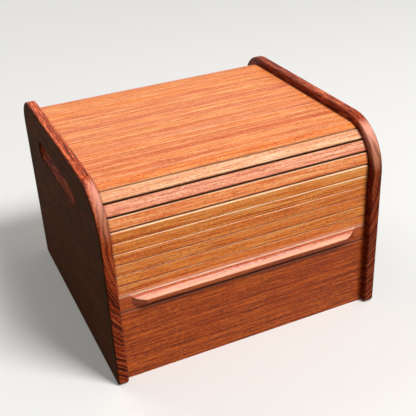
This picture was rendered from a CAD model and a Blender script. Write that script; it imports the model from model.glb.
"""Looks of the tambour lid box: camera, light, floor, oiled wood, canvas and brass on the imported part."""

import math
import random
from collections import namedtuple

import bmesh
import bpy
from mathutils import Matrix, Vector


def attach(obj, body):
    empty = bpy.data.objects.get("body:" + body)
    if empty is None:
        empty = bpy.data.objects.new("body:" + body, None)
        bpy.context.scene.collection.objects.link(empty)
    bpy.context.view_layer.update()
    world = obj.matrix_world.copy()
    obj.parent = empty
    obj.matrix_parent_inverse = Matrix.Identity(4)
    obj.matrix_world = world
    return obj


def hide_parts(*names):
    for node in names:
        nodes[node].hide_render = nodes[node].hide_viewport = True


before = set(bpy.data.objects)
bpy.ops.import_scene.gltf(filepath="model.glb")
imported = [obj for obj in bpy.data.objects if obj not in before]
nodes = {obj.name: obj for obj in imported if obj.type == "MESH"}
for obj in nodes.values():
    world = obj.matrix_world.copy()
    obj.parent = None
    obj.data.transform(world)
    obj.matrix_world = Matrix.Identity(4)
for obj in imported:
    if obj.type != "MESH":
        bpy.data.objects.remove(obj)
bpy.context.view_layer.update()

# Camera at the photograph's place, in metres, fitted to the outlines and slat joints seen in it.
CAMERA_PLACE = (-0.32251, -0.787976, 0.588642)
CAMERA_RIGHT = (0.9068186, -0.4191701, -0.0444566)
CAMERA_UP = (0.2435217, 0.4348808, 0.8669348)
CAMERA_FORWARD = (0.3440598, 0.7969787, -0.496435)
LENS_MM = 65.63
SENSOR_MM = 36.0
CLIP_NEAR = 0.01
CLIP_FAR = 60

# Sizes of the part that the pieces and the worn places here need, in metres, as in part.scad.
INNER_HALF = 0.157
FRONT_LINE_Y = -0.144
TOP_LINE_Z = 0.225
FRONT_CENTRE = (-0.1035, 0.1845)
FRONT_R = 0.0405
BACK_CENTRE = (0.116, 0.197)
BACK_R = 0.028
BAR_Z = 0.0921
BAR_H = 0.0197
BAR_FOOT_H = 0.010
BAR_FACE_Y = -0.150
# The lip's ends are the planes |x| - slope * y = reach.
LIP_END_SLOPE = 1.875
LIP_END_REACH = 0.42325
LIP_FRONT_Y = -0.158
LIP_TOP_Z = 0.1045
CREASE_Z = 0.1092
SLAT_COUNT = 30
SLAT_PITCH = 0.0132
SLAT_W = 0.0128
SLAT_T = 0.006
CANVAS_T = 0.0008
GLUE_T = 0.0001
CANVAS_MARGIN = 0.003
FRONT_RUN = FRONT_CENTRE[1] - BAR_Z
FRONT_TURN = FRONT_R * math.pi / 2
TOP_RUN = BACK_CENTRE[0] - FRONT_CENTRE[0]

# The slats that a body of its own carries start at these numbers; the top's slats ride together.
FIRST_FRONT_LINK = 3
FIRST_TOP = 11
FIRST_BACK_LINK = 24


def add_camera():
    data = bpy.data.cameras.new("camera")
    data.lens = LENS_MM
    data.sensor_width = SENSOR_MM
    data.clip_start = CLIP_NEAR
    data.clip_end = CLIP_FAR
    camera = bpy.data.objects.new("camera", data)
    turn = Matrix((CAMERA_RIGHT, CAMERA_UP, [-v for v in CAMERA_FORWARD])).transposed()
    camera.matrix_world = Matrix.Translation(CAMERA_PLACE) @ turn.to_4x4()
    bpy.context.scene.collection.objects.link(camera)
    bpy.context.scene.camera = camera


add_camera()


# ---------------------------------------------------------------- shader nodes


class Shader:
    """A material whose nodes are added one call at a time."""

    def __init__(self, name):
        self.material = bpy.data.materials.new(name)
        self.material.use_nodes = True
        self.tree = self.material.node_tree
        self.tree.nodes.clear()
        self.output = self.tree.nodes.new("ShaderNodeOutputMaterial")
        self.bsdf = self.tree.nodes.new("ShaderNodeBsdfPrincipled")
        self.link(self.bsdf.outputs[0], self.output.inputs["Surface"])

    def link(self, value, socket):
        self.tree.links.new(value, socket)

    def fill(self, socket, value):
        if isinstance(value, bpy.types.NodeSocket):
            self.link(value, socket)
        elif value is not None:
            socket.default_value = value

    def coords(self):
        return self.tree.nodes.new("ShaderNodeTexCoord").outputs["Object"]

    def mapped(self, vector, scale=(1, 1, 1), move=(0, 0, 0)):
        node = self.tree.nodes.new("ShaderNodeMapping")
        self.fill(node.inputs["Vector"], vector)
        node.inputs["Scale"].default_value = scale
        node.inputs["Location"].default_value = move
        return node.outputs[0]

    def noise(self, vector, scale=1.0, detail=2.0, rough=0.5, warp=0.0):
        node = self.tree.nodes.new("ShaderNodeTexNoise")
        self.fill(node.inputs["Vector"], vector)
        node.inputs["Scale"].default_value = scale
        node.inputs["Detail"].default_value = detail
        node.inputs["Roughness"].default_value = rough
        node.inputs["Distortion"].default_value = warp
        return node.outputs[0]

    def math(self, operation, a, b=None, c=None, clamp=False):
        node = self.tree.nodes.new("ShaderNodeMath")
        node.operation = operation
        node.use_clamp = clamp
        for socket, value in zip(node.inputs, (a, b, c)):
            self.fill(socket, value)
        return node.outputs[0]

    def total(self, *values):
        total = values[0]
        for value in values[1:]:
            total = self.math("ADD", total, value)
        return total

    def product(self, *values):
        product = values[0]
        for value in values[1:]:
            product = self.math("MULTIPLY", product, value)
        return product

    def centred(self, value, gain, middle=0.5):
        """A 0 to 1 pattern with its contrast changed about its middle."""
        return self.math("MULTIPLY_ADD", value, gain, middle - gain / 2)

    def spread(self, value, low, high, to_low=0.0, to_high=1.0):
        """Maps low..high to to_low..to_high smoothly, held at both ends."""
        node = self.tree.nodes.new("ShaderNodeMapRange")
        node.interpolation_type = "SMOOTHSTEP"
        self.fill(node.inputs["Value"], value)
        node.inputs["From Min"].default_value = low
        node.inputs["From Max"].default_value = high
        node.inputs["To Min"].default_value = to_low
        node.inputs["To Max"].default_value = to_high
        return node.outputs["Result"]

    def ramp(self, value, stops):
        node = self.tree.nodes.new("ShaderNodeValToRGB")
        self.fill(node.inputs[0], value)
        elements = node.color_ramp.elements
        while len(elements) < len(stops):
            elements.new(0.5)
        for element, (place, colour) in zip(elements, stops):
            element.position = place
            element.color = (*colour, 1)
        return node.outputs[0]

    def mix(self, factor, a, b, blend="MIX"):
        node = self.tree.nodes.new("ShaderNodeMix")
        node.data_type = "RGBA"
        node.blend_type = blend
        self.fill(node.inputs[0], factor)
        self.fill(node.inputs[6], a if isinstance(a, bpy.types.NodeSocket) else (*a, 1))
        self.fill(node.inputs[7], b if isinstance(b, bpy.types.NodeSocket) else (*b, 1))
        return node.outputs[2]

    def dot(self, vector, direction):
        node = self.tree.nodes.new("ShaderNodeVectorMath")
        node.operation = "DOT_PRODUCT"
        self.fill(node.inputs[0], vector)
        node.inputs[1].default_value = direction
        return node.outputs["Value"]

    def split(self, vector):
        node = self.tree.nodes.new("ShaderNodeSeparateXYZ")
        self.fill(node.inputs[0], vector)
        return node.outputs

    def joined(self, x, y, z):
        node = self.tree.nodes.new("ShaderNodeCombineXYZ")
        for socket, value in zip(node.inputs, (x, y, z)):
            self.fill(socket, value)
        return node.outputs[0]

    def bump(self, height, strength, distance):
        node = self.tree.nodes.new("ShaderNodeBump")
        node.inputs["Strength"].default_value = strength
        node.inputs["Distance"].default_value = distance
        self.fill(node.inputs["Height"], height)
        self.fill(self.bsdf.inputs["Normal"], node.outputs[0])

    def set(self, **values):
        for name, value in values.items():
            self.fill(self.bsdf.inputs[name.replace("_", " ")], value)


def srgb(red, green, blue):
    """A display colour, 0 to 255, as the shader's linear one."""
    out = []
    for v in (red, green, blue):
        v = v / 255
        out.append(v / 12.92 if v <= 0.04045 else ((v + 0.055) / 1.055) ** 2.4)
    return tuple(out)


def tinted(colour, factor):
    return tuple(min(1.0, c * f) for c, f in zip(colour, factor))


# ---------------------------------------------------------------- wood grain


WOOD_IOR = 1.45
SLAT_SHEEN = 0.34
PANEL_SHEEN = 0.08
PORE_DEPTH = 0.8
RELIEF_STRENGTH = 0.6
RELIEF_HEIGHT = 0.0003
JOINT_GRIME = srgb(76, 26, 6)
SLANT_GRIME = srgb(112, 44, 18)


def board_offset(seed):
    """A place of its own in the grain pattern, so that no two boards look alike."""
    draw = random.Random(seed)
    return [draw.uniform(-20, 20) for _ in range(3)]


class Board:
    """The grain of one board: noise drawn out along its fibres, which run along the X or Y axis."""

    def __init__(self, shader, here, along, move):
        self.shader = shader
        self.here = here
        self.along = along
        self.move = move

    def fibres(self, across, lengthwise, detail, rough, warp=0.0):
        """Streaks with so many features per metre across and along the fibres."""
        scale = [across] * 3
        scale["XY".index(self.along)] = lengthwise
        return self.shader.noise(self.shader.mapped(self.here, scale, self.move), 1, detail, rough, warp)

    def clouds(self, size):
        return self.shader.noise(self.shader.mapped(self.here, (size, size, size), self.move), 1, 2, 0.5)


def wood_gloss(shader, streaks, clouds, rough):
    """Roughness that wanders about a mean with the streaks and in patches."""
    return shader.total(shader.centred(streaks, 0.3, 0), shader.centred(clouds, 0.12, rough))


def wood_relief(shader, holes, *waves):
    """Raised grain with the open pores sunk into it; waves are patterns with their heights."""
    height = shader.total(*[shader.centred(wave, gain) for wave, gain in waves])
    pits = shader.product(holes, PORE_DEPTH)
    shader.bump(shader.math("SUBTRACT", height, pits), RELIEF_STRENGTH, RELIEF_HEIGHT)


# A slat's two long edges: the direction across it with its middle and half width, the direction out of
# its face with the face's place, the worn colour, and the wear of the upper and of the lower edge.
Rim = namedtuple("Rim", "across middle half outward face worn top_wear foot_wear")


def wood(name, tones, seed, figure=1.0, pores=0.6, rough=0.4, rim=None, touch=None):
    """Oiled wood with its fibres along X, sawn from the board that seed stands for.

    tones are the dark, middle and light colours. touch is a function that changes the colour further.
    """
    shader = Shader(name)
    dark, mid, light = tones
    here = shader.coords()
    board = Board(shader, here, "X", board_offset(seed))

    bands = board.fibres(170, 1.6, 2, 0.5, warp=0.2)
    streaks = board.fibres(520, 7, 3, 0.65)
    threads = board.fibres(1050, 22, 2, 0.7)
    flecks = board.fibres(640, 330, 2, 0.65)
    dashes = board.fibres(1300, 170, 2, 0.6)
    clouds = board.clouds(14)

    tone = shader.total(
        shader.centred(bands, 0.7 * figure),
        shader.centred(streaks, 1.7 * figure, 0),
        shader.centred(threads, 2.3 * figure, 0),
        shader.centred(flecks, 1.2 * figure, 0),
    )
    colour = shader.ramp(tone, [(0.12, dark), (0.5, mid), (0.88, light)])
    patches = shader.spread(clouds, 0.42, 0.66, 0.0, 0.3)
    colour = shader.mix(patches, colour, tinted(mid, (0.96, 0.84, 0.76)))
    holes = shader.spread(dashes, 0.33, 0.42, 1.0, 0.0)
    colour = shader.mix(shader.product(holes, pores), colour, tinted(dark, (0.66, 0.52, 0.46)))
    if rim:
        colour = worn_edges(shader, board, colour, rim)
    if touch:
        colour = touch(shader, here, colour)
    shader.set(Base_Color=colour, Roughness=wood_gloss(shader, streaks, clouds, rough))
    shader.set(IOR=WOOD_IOR, Specular_IOR_Level=SLAT_SHEEN)
    wood_relief(shader, holes, (threads, 0.5), (flecks, 0.6), (streaks, 0.5))
    return shader.material


# How far inside a slat's edge, in metres, each of these starts and is full.
RUBBED_BAND = (0.0012, 0.0005)
SHUT_BAND = (0.0006, 0.0003)
WALL_BAND = (0.00025, 0.0001)
# Depth below the face at which grime starts in a joint: on an unworn edge, and further on a worn one.
GRIME_START = 0.0006
GRIME_REACH = 0.0022


def worn_edges(shader, board, colour, rim):
    """Bare pale wood on a slat's rubbed edges, grime in its tight joints and deep in the open ones."""
    offset = shader.math("SUBTRACT", shader.dot(board.here, rim.across), rim.middle)
    depth = shader.math("SUBTRACT", rim.face, shader.dot(board.here, rim.outward))
    patchy = board.fibres(60, 18, 3, 0.6)

    def edge(inward, band, to_low=0.0, to_high=1.0):
        start, full = band
        return shader.spread(inward, rim.half - start, rim.half - full, to_low, to_high)

    rubbed = shader.product(
        edge(offset, RUBBED_BAND),
        shader.spread(patchy, 0.34, 0.6, 0.4 * rim.top_wear, rim.top_wear),
    )
    colour = shader.mix(rubbed, colour, rim.worn)
    for wear, inward in ((rim.top_wear, offset), (rim.foot_wear, shader.product(offset, -1.0))):
        wall = edge(inward, WALL_BAND)
        colour = shader.mix(shader.product(wall, 0.08 + 0.32 * wear), colour, rim.worn)
        shut = edge(inward, SHUT_BAND, 0.0, max(0.0, 0.75 - 1.5 * wear))
        start = GRIME_START + GRIME_REACH * wear
        deep = shader.product(shader.spread(depth, start, start + GRIME_REACH), wall)
        colour = shader.mix(shader.math("MAXIMUM", shut, deep), colour, JOINT_GRIME)
    return colour


# ---------------------------------------------------------------- side panels


# Centre of the growth rings: this far from the middle plane on the panel's side, and this high.
RING_X = 0.03
RING_Z = 0.175
RING_RISE = 0.05
RING_SWAY = 0.006
PANEL_TONES = (srgb(68, 14, 4), srgb(186, 66, 26), srgb(244, 132, 80))
RING_LINE = srgb(52, 14, 4)
PORE_LINE = srgb(52, 16, 8)
OUTER_FACE = srgb(42, 26, 3)
INNER_FACE = srgb(84, 20, 2)
HELD_GRIME = srgb(46, 18, 6)
POLISHED = srgb(255, 176, 152)

# Bounds, in metres, between which each mask of a panel rises or falls: distance from the middle plane
# for the two faces, distance from the middle of the depth for the end grain.
OUTER_FACE_X = (0.1676, 0.1697)
INNER_FACE_X = (0.1574, 0.1592)
END_GRAIN_Y = (0.132, 0.157)
# The same for the recess: from its lit wall to its dark one, over its top, past its ends, and in depth.
RECESS_LIT_Z = (0.1945, 0.1985)
RECESS_TOP_Z = (0.2075, 0.2095)
RECESS_END_Y = (0.09, 0.10)
RECESS_MOUTH_X = (0.1682, 0.1698)
RECESS_FLOOR_X = (0.1600, 0.1612)

# One side panel. The front corner is palest in the direction corner_aim; corner_reach and corner_x are
# where the polish starts and is full along that direction and across the panel, and corner_wear its
# strength at those two places across. back_dark is how much darker the panel gets toward the back.
Panel = namedtuple(
    "Panel",
    "side seed shade ring_depth corner_aim corner_reach corner_x corner_wear back_dark",
)
LEFT_PANEL = Panel(
    side=-1,
    seed=11,
    shade=1.1,
    ring_depth=0.92,
    corner_aim=(0, -0.743, 0.669),
    corner_reach=(0.2405, 0.2530),
    corner_x=(-0.1695, -0.1600),
    corner_wear=(0.08, 0.75),
    back_dark=0,
)
RIGHT_PANEL = Panel(
    side=1,
    seed=12,
    shade=0.9,
    ring_depth=0.5,
    corner_aim=(0, -0.809, 0.588),
    corner_reach=(0.2355, 0.2445),
    corner_x=(0.1575, 0.1680),
    corner_wear=(0.8, 0.9),
    back_dark=0.75,
)
BACK_DARK_Y = (-0.06, 0.08)


def ring_reach(shader, here, side, sway):
    """Distance from the growth rings' centre line, which runs front to back beside the panel."""
    x, y, z = shader.split(here)
    sideways = shader.math("SUBTRACT", x, side * RING_X)
    upward = shader.total(shader.math("SUBTRACT", z, RING_Z), shader.product(y, RING_RISE))
    squares = shader.total(shader.product(sideways, sideways), shader.product(upward, upward))
    return shader.total(shader.math("SQRT", squares), shader.product(sway, RING_SWAY))


def ring_noise(shader, here, reach, seed, across, lengthwise, rough):
    """Noise that changes quickly from ring to ring and slowly along the fibres."""
    along = shader.product(shader.split(here)[1], lengthwise)
    return shader.noise(shader.joined(shader.product(reach, across), along, seed), 1, 3, rough)


def polished_corner(shader, here, colour, panel):
    """The front corners are polished pale by hands, most on the sides that face right."""
    corner = shader.spread(shader.dot(here, panel.corner_aim), *panel.corner_reach)
    across = shader.spread(shader.split(here)[0], *panel.corner_x, *panel.corner_wear)
    return shader.mix(shader.product(corner, across), colour, POLISHED)


def oiled_ends(shader, here, colour, panel, rings):
    """Oil sinks into the end grain in front and behind, most into its dark rings, and toward the back."""
    y = shader.split(here)[1]
    end_grain = shader.spread(shader.math("ABSOLUTE", y), *END_GRAIN_Y)
    colour = shader.mix(end_grain, colour, (0.62, 0.54, 0.42), "MULTIPLY")
    if panel.back_dark:
        toward_back = shader.spread(y, *BACK_DARK_Y, 0.0, panel.back_dark)
        colour = shader.mix(toward_back, colour, (0.62, 0.42, 0.28), "MULTIPLY")
    dark_rings = shader.spread(rings, 0.44, 0.51, panel.ring_depth, 0.0)
    return shader.mix(shader.product(end_grain, dark_rings), colour, RING_LINE)


def recess_mask(shader, here, depth_x):
    """How far fingers have darkened the recess: most on its upper wall, less on its lower one."""
    y, z = shader.split(here)[1:3]
    return shader.product(
        shader.spread(z, *RECESS_LIT_Z, 0.42, 0.85),
        shader.spread(z, *RECESS_TOP_Z, 1.0, 0.0),
        shader.spread(shader.math("ABSOLUTE", y), *RECESS_END_Y, 1.0, 0.0),
        shader.spread(depth_x, *RECESS_MOUTH_X, 1.0, 0.0),
        shader.spread(depth_x, *RECESS_FLOOR_X),
    )


def side_wood(name, panel):
    """Panel wood: growth rings, polished front corners, dark ends, dark flat faces and recess."""
    shader = Shader(name)
    here = shader.coords()
    board = Board(shader, here, "Y", board_offset(panel.seed))
    dark, mid, light = [tinted(tone, [panel.shade] * 3) for tone in PANEL_TONES]

    sway = shader.noise(shader.mapped(here, (60, 9, 60), board.move), 1, 2, 0.5)
    reach = ring_reach(shader, here, panel.side, sway)
    rings = ring_noise(shader, here, reach, panel.seed, 290, 7, 0.65)
    fine = ring_noise(shader, here, reach, panel.seed, 820, 45, 0.7)
    streaks = board.fibres(560, 40, 3, 0.6)
    flecks = board.fibres(620, 300, 2, 0.65)
    dashes = board.fibres(1100, 140, 2, 0.6)
    clouds = board.clouds(22)

    tone = shader.total(
        shader.centred(rings, 2.3),
        shader.centred(fine, 3.0, 0),
        shader.centred(streaks, 1.6, 0),
        shader.centred(flecks, 1.0, 0),
    )
    colour = shader.ramp(tone, [(0.05, dark), (0.5, mid), (0.95, light)])
    patches = shader.spread(clouds, 0.42, 0.7, 0.0, 0.35)
    colour = shader.mix(patches, colour, tinted(mid, (0.72, 0.6, 0.6)))
    holes = shader.spread(dashes, 0.34, 0.44, 1.0, 0.0)
    colour = shader.mix(shader.product(holes, 0.75), colour, PORE_LINE)

    colour = polished_corner(shader, here, colour, panel)
    colour = oiled_ends(shader, here, colour, panel, rings)
    depth_x = shader.product(shader.split(here)[0], panel.side)
    outer = shader.spread(depth_x, *OUTER_FACE_X)
    colour = shader.mix(shader.product(outer, 0.92), colour, OUTER_FACE)
    colour = shader.mix(shader.spread(depth_x, *INNER_FACE_X, 0.45, 0.0), colour, INNER_FACE)
    held = recess_mask(shader, here, depth_x)
    colour = shader.mix(held, colour, HELD_GRIME)

    gloss = wood_gloss(shader, streaks, clouds, 0.36)
    dull = shader.product(shader.math("MAXIMUM", outer, held), 0.5)
    shader.set(Base_Color=colour, Roughness=shader.math("ADD", gloss, dull, clamp=True))
    shader.set(IOR=WOOD_IOR, Specular_IOR_Level=PANEL_SHEEN)
    wood_relief(shader, holes, (streaks, 0.5), (fine, 0.5), (flecks, 0.5))
    return shader.material


# ---------------------------------------------------------------- worn places of the lid and rail


# Heights between which the rail's eased edge turns pale, loses that again, and turns dark.
RAIL_PALE_Z = (0.0884, 0.0892)
RAIL_FADE_Z = (0.0898, 0.0906)
RAIL_GRIME_Z = (0.0902, 0.0909)
# Distance from the middle plane over which the slats' ends turn dark.
SLAT_END_X = (0.1525, 0.1565)
# Height over which the rubbed foot of the first slat fades.
FINGER_Z = (0.1120, 0.1168)
# From the lip's front edge to the bar's face: where the rubbed place is full and where it ends.
LIP_RUBBED_Y = (-0.1560, -0.1506)
LIP_RUBBED_Z = (LIP_TOP_Z - 0.0006, LIP_TOP_Z)
LIP_EDGE_Y = (LIP_FRONT_Y + 0.0002, LIP_FRONT_Y + 0.0005)
LIP_EDGE_Z = (0.1032, 0.1042)
LIP_END_BAND = (LIP_END_REACH - 0.0007, LIP_END_REACH - 0.0002)
LIP_ROOT_Y = (BAR_FACE_Y - 0.0009, BAR_FACE_Y - 0.0003)
CREASE_BAND = (CREASE_Z, CREASE_Z + 0.0008)


def rail_top(shader, here, colour):
    """The rail's eased top edge: rubbed pale in front, dark with old oil where the bar comes down."""
    height = shader.split(here)[2]
    pale = shader.product(shader.spread(height, *RAIL_PALE_Z), shader.spread(height, *RAIL_FADE_Z, 0.5, 0.0))
    colour = shader.mix(pale, colour, srgb(214, 128, 84))
    return shader.mix(shader.spread(height, *RAIL_GRIME_Z, 0.0, 0.9), colour, JOINT_GRIME)


def slat_ends(shader, here, colour):
    """Dust and old oil gather where the slats run into the side panels."""
    sideways = shader.math("ABSOLUTE", shader.split(here)[0])
    return shader.mix(shader.spread(sideways, *SLAT_END_X, 0.0, 0.7), colour, srgb(120, 52, 34))


def beside_bar(shader, here, colour):
    """The slat next to the handle bar is rubbed pale where the fingers meet it."""
    pale = shader.spread(shader.split(here)[2], *FINGER_Z, 0.7, 0.0)
    return slat_ends(shader, here, shader.mix(pale, colour, srgb(255, 172, 142)))


def bar_wear(shader, here, colour):
    """The pull lip and the bar's top edge are rubbed pale; the slanted end-grain ends are dark."""
    x, y, z = shader.split(here)
    lip = shader.product(shader.spread(z, *LIP_RUBBED_Z), shader.spread(y, *LIP_RUBBED_Y, 0.86, 0.06))
    rubbed = shader.math("MAXIMUM", lip, shader.spread(z, *CREASE_BAND, 0.0, 0.78))
    grain = Board(shader, here, "X", (3, 5, 7)).fibres(900, 30, 3, 0.7)
    rubbed = shader.product(rubbed, shader.spread(grain, 0.36, 0.64, 0.66, 1.14))
    slant = shader.total(shader.math("ABSOLUTE", x), shader.product(y, -LIP_END_SLOPE))
    ends = shader.spread(slant, *LIP_END_BAND)
    rubbed = shader.product(rubbed, shader.math("SUBTRACT", 1.0, shader.product(ends, 0.6)))
    colour = shader.mix(rubbed, colour, srgb(255, 208, 178))
    front = shader.product(shader.spread(y, *LIP_EDGE_Y, 0.4, 0.0), shader.spread(z, *LIP_EDGE_Z, 1.0, 0.0))
    colour = shader.mix(front, colour, SLANT_GRIME)
    cut = shader.product(ends, shader.spread(y, *LIP_ROOT_Y, 0.62, 0.2))
    return shader.mix(cut, colour, SLANT_GRIME)


# ---------------------------------------------------------------- brass and canvas


THREAD_PITCH = 0.0011


def brass():
    """Aged brass of the screws: turned rings, tarnish in patches."""
    shader = Shader("brass_aged")
    here = shader.coords()
    spots = shader.noise(here, 900, 4, 0.6)
    scratches = shader.noise(shader.mapped(here, (3000, 200, 3000)), 1, 3, 0.6)
    colour = shader.mix(shader.spread(spots, 0.42, 0.62), srgb(196, 154, 78), srgb(122, 92, 48))
    shader.set(Base_Color=colour, Metallic=1.0)
    shader.set(Roughness=shader.spread(scratches, 0.3, 0.7, 0.26, 0.48))
    shader.bump(scratches, 0.2, 0.0001)
    return shader.material


def canvas():
    """Woven backing canvas: plain weave of unbleached cotton, glue soaked into it in patches."""
    shader = Shader("canvas_cotton")
    here = shader.coords()
    x, y, z = shader.split(here)
    warp, weft = [
        shader.math("SINE", shader.product(place, 2 * math.pi / THREAD_PITCH))
        for place in (x, shader.total(y, z))
    ]
    weave = shader.product(warp, weft)
    fuzz = shader.noise(here, 2600, 3, 0.6)
    patches = shader.noise(here, 42, 3, 0.55)
    colour = shader.ramp(
        shader.math("MULTIPLY_ADD", weave, 0.16, 0.5),
        [(0.3, srgb(150, 130, 92)), (0.5, srgb(186, 166, 124)), (0.7, srgb(206, 188, 148))],
    )
    soaked = shader.spread(patches, 0.45, 0.62, 0.0, 0.35)
    colour = shader.mix(soaked, colour, srgb(150, 116, 74), "MULTIPLY")
    colour = shader.mix(shader.spread(fuzz, 0.4, 0.7, 0.0, 0.2), colour, srgb(222, 208, 174))
    shader.set(Base_Color=colour, Roughness=0.9)
    shader.set(Sheen_Weight=0.2, Sheen_Roughness=0.5)
    shader.bump(weave, 0.5, 0.0003)
    return shader.material


# ---------------------------------------------------------------- lid track


def line_at(s):
    """The lid's middle line at a length from the bar's foot: y, z and the turn from upright."""
    if s < FRONT_RUN:
        return FRONT_LINE_Y, BAR_Z + s, 0.0
    s -= FRONT_RUN
    if s < FRONT_TURN:
        turn = s / FRONT_R
        return (
            FRONT_CENTRE[0] - FRONT_R * math.cos(turn),
            FRONT_CENTRE[1] + FRONT_R * math.sin(turn),
            turn,
        )
    s -= FRONT_TURN
    if s < TOP_RUN:
        return FRONT_CENTRE[0] + s, TOP_LINE_Z, math.pi / 2
    s -= TOP_RUN
    turn = math.pi / 2 + s / BACK_R
    return (
        BACK_CENTRE[0] - BACK_R * math.cos(turn),
        BACK_CENTRE[1] + BACK_R * math.sin(turn),
        turn,
    )


def slat_start(number):
    """Length along the line at which a slat's pitch begins."""
    return BAR_H + (number - 1) * SLAT_PITCH


def slat_place(number):
    """Middle of a slat's back, and its turn."""
    return line_at(BAR_H + SLAT_PITCH * (number - 0.5))


def slat_name(number):
    return f"slat_{number:02d}"


# ---------------------------------------------------------------- materials of the nodes


# The boards that the slats were sawn from: dark, middle and light tones of each.
TEAK = {
    "golden": (srgb(196, 86, 26), srgb(249, 138, 56), srgb(255, 170, 94)),
    "brown": (srgb(186, 84, 22), srgb(250, 142, 58), srgb(255, 180, 104)),
    "honey": (srgb(206, 94, 42), srgb(246, 142, 76), srgb(255, 182, 122)),
    "orange": (srgb(196, 82, 34), srgb(239, 132, 62), srgb(252, 172, 108)),
    "rose": (srgb(194, 84, 44), srgb(237, 132, 70), srgb(250, 168, 114)),
    "blush": (srgb(196, 94, 56), srgb(236, 146, 99), srgb(253, 190, 150)),
    "amber": (srgb(202, 94, 36), srgb(242, 140, 64), srgb(253, 176, 108)),
    "russet": (srgb(186, 72, 28), srgb(233, 120, 54), srgb(249, 158, 94)),
    "peach": (srgb(208, 122, 80), srgb(240, 171, 120), srgb(255, 212, 172)),
}
SLAT_BOARDS = (
    "golden golden golden golden brown brown honey blush peach orange"
    " orange amber russet orange orange rose orange amber rose orange"
    " rose orange orange russet golden orange amber russet orange golden"
).split()
# How far the upper and the lower edge of each slat are rubbed pale; the last value serves the others.
EDGE_WEAR = (0.05, 0.05, 0.1, 0.45, 0.95, 1.0, 0.7, 0.25, 0.3, 0.7, 0.5)
FOOT_WEAR = (0.8, 0.0, 0.0, 0.1, 0.2, 0.2, 0.3, 0.1, 0.2, 1.0, 1.0, 0.5)
SLAT_RUBBED = srgb(255, 216, 172)
SHADE_RANGE = 0.05
FIRST_SLAT_SEED = 100

RAIL_TONES = (srgb(106, 34, 4), srgb(178, 70, 8), srgb(230, 116, 42))
BAR_TONES = (srgb(152, 54, 8), srgb(208, 88, 22), srgb(238, 132, 64))
BAR_RIM = Rim(
    across=(0, 0, 1),
    middle=BAR_Z + BAR_H / 2,
    half=BAR_H / 2,
    outward=(0, -1, 0),
    face=-BAR_FACE_Y,
    worn=srgb(255, 200, 158),
    top_wear=1.0,
    foot_wear=0.1,
)
BOARD_TONES = (srgb(128, 70, 38), srgb(176, 106, 60), srgb(204, 138, 86))
BEECH_TONES = (srgb(176, 136, 92), srgb(206, 170, 124), srgb(224, 194, 152))


def paint(node, material):
    """Gives a CAD node its finish: all its material slots are set to one material."""
    obj = nodes[node]
    if not obj.data.materials:
        obj.data.materials.append(material)
    for slot in obj.material_slots:
        slot.material = material


def nth(values, number):
    """The value for a slat, counted from 1; the last value serves the slats past the end."""
    return values[min(number, len(values)) - 1]


def slat_rim(number):
    y, z, turn = slat_place(number)
    across = Vector((0, math.sin(turn), math.cos(turn)))
    outward = Vector((0, -math.cos(turn), math.sin(turn)))
    back = Vector((0, y, z))
    return Rim(
        across=across,
        middle=back.dot(across),
        half=SLAT_W / 2,
        outward=outward,
        face=back.dot(outward) + SLAT_T,
        worn=SLAT_RUBBED,
        top_wear=nth(EDGE_WEAR, number),
        foot_wear=nth(FOOT_WEAR, number),
    )


def slat_wood(number, board):
    """A slat's own wood: its board's tones, each slat a little lighter or darker than the next."""
    shade = 1 + SHADE_RANGE * random.Random(number).uniform(-1, 1)
    tones = [tinted(tone, (shade, shade**2, shade**2)) for tone in TEAK[board]]
    touch = beside_bar if number == 1 else slat_ends
    name = f"teak_{slat_name(number)}"
    return wood(name, tones, FIRST_SLAT_SEED + number, rim=slat_rim(number), touch=touch)


def paint_slats():
    for number, board in enumerate(SLAT_BOARDS, 1):
        paint(slat_name(number), slat_wood(number, board))


def paint_case():
    paint("left_side", side_wood("teak_side_left", LEFT_PANEL))
    paint("right_side", side_wood("teak_side_right", RIGHT_PANEL))
    paint("front_rail", wood("teak_rail", RAIL_TONES, 21, figure=0.85, touch=rail_top))
    paint("handle_bar", wood("teak_bar", BAR_TONES, 31, rough=0.3, rim=BAR_RIM, touch=bar_wear))
    board = wood("teak_board", BOARD_TONES, 41)
    for node in ("floor_board", "inner_back", "outer_back", "tail_batten"):
        paint(node, board)
    beech = wood("beech", BEECH_TONES, 51, figure=0.6, pores=0.2, rough=0.6)
    paint("rail_dowels", beech)
    paint("inner_back_dowels", beech)
    paint("back_screws", brass())


# ---------------------------------------------------------------- canvas strips


CANVAS_HALF = INNER_HALF - CANVAS_MARGIN
STRIP_STEPS = 8


def strip_ring(mesh, s):
    """The strip's four corners at a length along the lid's line."""
    y, z, turn = line_at(s)
    inward = Vector((0, math.cos(turn), -math.sin(turn)))
    back = Vector((0, y, z))
    return [
        mesh.verts.new(back + inward * depth + Vector((x, 0, 0)))
        for depth in (GLUE_T, GLUE_T + CANVAS_T)
        for x in (-CANVAS_HALF, CANVAS_HALF)
    ]


def canvas_strip(name, start, end):
    """A strip of the canvas between two lengths along the lid's line, behind the slats."""
    mesh = bmesh.new()
    rings = [strip_ring(mesh, start + (end - start) * i / STRIP_STEPS) for i in range(STRIP_STEPS + 1)]
    for a, b in zip(rings, rings[1:]):
        for i, j in ((0, 1), (1, 3), (3, 2), (2, 0)):
            mesh.faces.new((a[i], a[j], b[j], b[i]))
    for ring, order in ((rings[0], (0, 2, 3, 1)), (rings[-1], (0, 1, 3, 2))):
        mesh.faces.new([ring[i] for i in order])
    bmesh.ops.recalc_face_normals(mesh, faces=mesh.faces)
    data = bpy.data.meshes.new(name)
    mesh.to_mesh(data)
    mesh.free()
    obj = bpy.data.objects.new(name, data)
    bpy.context.scene.collection.objects.link(obj)
    return obj


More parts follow.
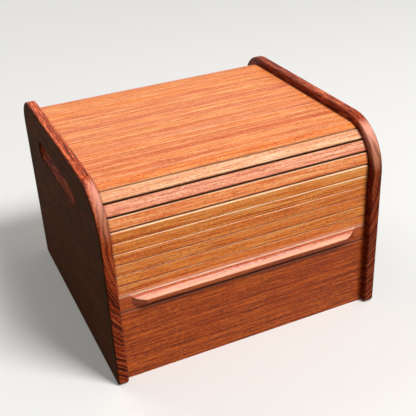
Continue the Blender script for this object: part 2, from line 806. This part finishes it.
def link_cuts(first, past):
    """One cut for each slat that has a body of its own: body, start, end, slats that hold it."""
    cuts = []
    for number in range(first, past):
        start = slat_start(number)
        cuts.append((slat_name(number) + "_link", start, start + SLAT_PITCH, [slat_name(number)]))
    return cuts


def canvas_cuts():
    """The canvas, cut where the bodies meet: one strip for each body of the lid."""
    front_slats = [slat_name(n) for n in range(1, FIRST_FRONT_LINK)]
    top_slats = [slat_name(n) for n in range(FIRST_TOP, FIRST_BACK_LINK)]
    return [
        ("lid_front", BAR_FOOT_H + GLUE_T, slat_start(FIRST_FRONT_LINK), front_slats),
        *link_cuts(FIRST_FRONT_LINK, FIRST_TOP),
        ("lid_top", slat_start(FIRST_TOP), slat_start(FIRST_BACK_LINK), top_slats),
        *link_cuts(FIRST_BACK_LINK, SLAT_COUNT + 1),
    ]


def add_canvas():
    cloth = canvas()
    for body, start, end, held_by in canvas_cuts():
        piece = canvas_strip("canvas_" + body, start, end)
        piece.data.materials.append(cloth)
        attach(piece, body)
        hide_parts("canvas_backing")


# ---------------------------------------------------------------- floor and light


FLOOR_SIZE = 40
FLOOR_COLOUR = srgb(236, 235, 232)
FLOOR_BOUNCE = srgb(120, 120, 112)
# Light of its own that the floor shows to the eye: near the box, and far off where the lamps fade.
FLOOR_LIFT_DISTANCE = (1.0, 6.0)
FLOOR_LIFT = (0.06, 0.78)
BACKGROUND = 1.04
SKY_LIGHT = 0.22
# Area lamps: place, size and power. All aim at the middle of the box.
LAMPS = {
    "key": ((1.40, -2.24, 3.65), 1.4, 182),
    "sky": ((0.9, -0.15, 3.0), 1.4, 5),
    "back": ((-1.0, 2.0, 2.2), 1.6, 18),
}
LAMP_AIM = Vector((0, 0, 0.15))


def seen_rays(tree):
    """1 for rays from the eye and for reflected or refracted ones, 0 for those that carry light."""
    paths = tree.nodes.new("ShaderNodeLightPath")
    seen = paths.outputs["Is Camera Ray"]
    for ray in ("Is Glossy Ray", "Is Transmission Ray"):
        node = tree.nodes.new("ShaderNodeMath")
        node.operation = "MAXIMUM"
        tree.links.new(seen, node.inputs[0])
        tree.links.new(paths.outputs[ray], node.inputs[1])
        seen = node.outputs[0]
    return seen


def add_floor():
    """Plain pale floor: pale to the eye and in reflections, darker as a source of bounced light."""
    shader = Shader("floor_pale")
    seen = seen_rays(shader.tree)
    shader.set(Base_Color=shader.mix(seen, FLOOR_BOUNCE, FLOOR_COLOUR), Roughness=0.9)
    shader.set(Specular_IOR_Level=0.1)
    x, y, _ = shader.split(shader.coords())
    distance = shader.math("SQRT", shader.total(shader.product(x, x), shader.product(y, y)))
    lift = shader.spread(distance, *FLOOR_LIFT_DISTANCE, *FLOOR_LIFT)
    shader.set(Emission_Color=(*FLOOR_COLOUR, 1), Emission_Strength=shader.product(seen, lift))
    bpy.ops.mesh.primitive_plane_add(size=FLOOR_SIZE, location=(0, 0, 0))
    floor = bpy.context.object
    floor.name = "floor"
    floor.data.materials.append(shader.material)


def add_world():
    """Pale to the eye and in reflections like the floor, a weak even light on everything else."""
    world = bpy.data.worlds.new("studio")
    world.use_nodes = True
    tree = world.node_tree
    background = tree.nodes["Background"]
    background.inputs["Color"].default_value = (*FLOOR_COLOUR, 1)
    strength = tree.nodes.new("ShaderNodeMapRange")
    strength.inputs["To Min"].default_value = SKY_LIGHT
    strength.inputs["To Max"].default_value = BACKGROUND
    tree.links.new(seen_rays(tree), strength.inputs["Value"])
    tree.links.new(strength.outputs["Result"], background.inputs["Strength"])
    bpy.context.scene.world = world


def add_lamp(name, place, size, power):
    data = bpy.data.lights.new(name, "AREA")
    data.shape = "SQUARE"
    data.size = size
    data.energy = power
    lamp = bpy.data.objects.new(name, data)
    lamp.rotation_euler = (LAMP_AIM - Vector(place)).to_track_quat("-Z", "Y").to_euler()
    lamp.location = place
    bpy.context.scene.collection.objects.link(lamp)


def add_light():
    for name, (place, size, power) in LAMPS.items():
        add_lamp(name, place, size, power)
    add_world()
    bpy.context.scene.view_settings.view_transform = "Standard"


paint_slats()
paint_case()
add_canvas()
add_floor()
add_light()
